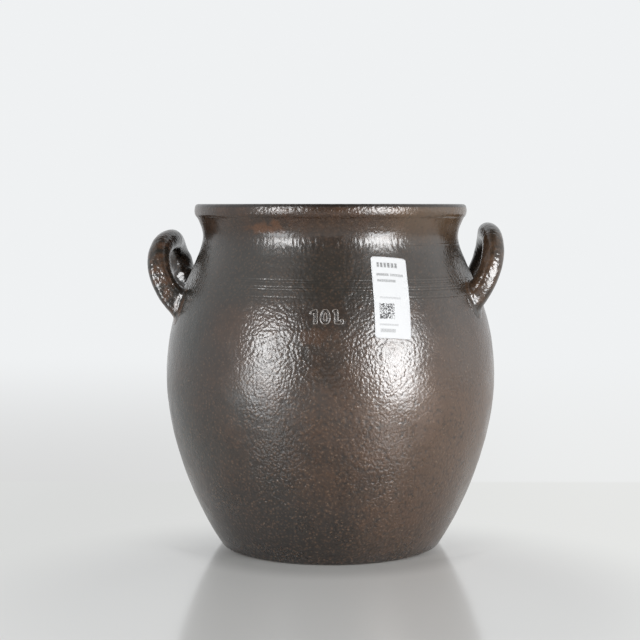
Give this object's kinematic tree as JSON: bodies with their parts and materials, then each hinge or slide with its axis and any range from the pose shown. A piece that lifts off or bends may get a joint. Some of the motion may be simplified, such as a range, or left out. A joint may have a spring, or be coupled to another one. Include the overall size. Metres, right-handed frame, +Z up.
{
  "type": "crock",
  "caption": "Round-bellied salt-glazed stoneware storage crock with a rolled rim, a short neck, coil ears on the shoulder and a paper label.",
  "frame": {"origin": "the middle of the flat foot, on the table", "axes": "+Z up along the thrown axis, +X towards the taller ear, -Y towards the front, where the capacity mark and the label are"},
  "size_m": [0.2874, 0.2696, 0.2795],
  "materials": {
    "brown_salt_glaze": "glossy brown salt glaze with an orange-peel surface",
    "ear_salt_glaze": "glossy red-brown salt glaze over hand-rolled clay",
    "label_paper": "plain white self-adhesive paper"
  },
  "bodies": {
    "root": {"body": "brown_salt_glaze", "ear_left": "ear_salt_glaze", "ear_right": "ear_salt_glaze", "label": "label_paper"}
  },
  "joints": []
}
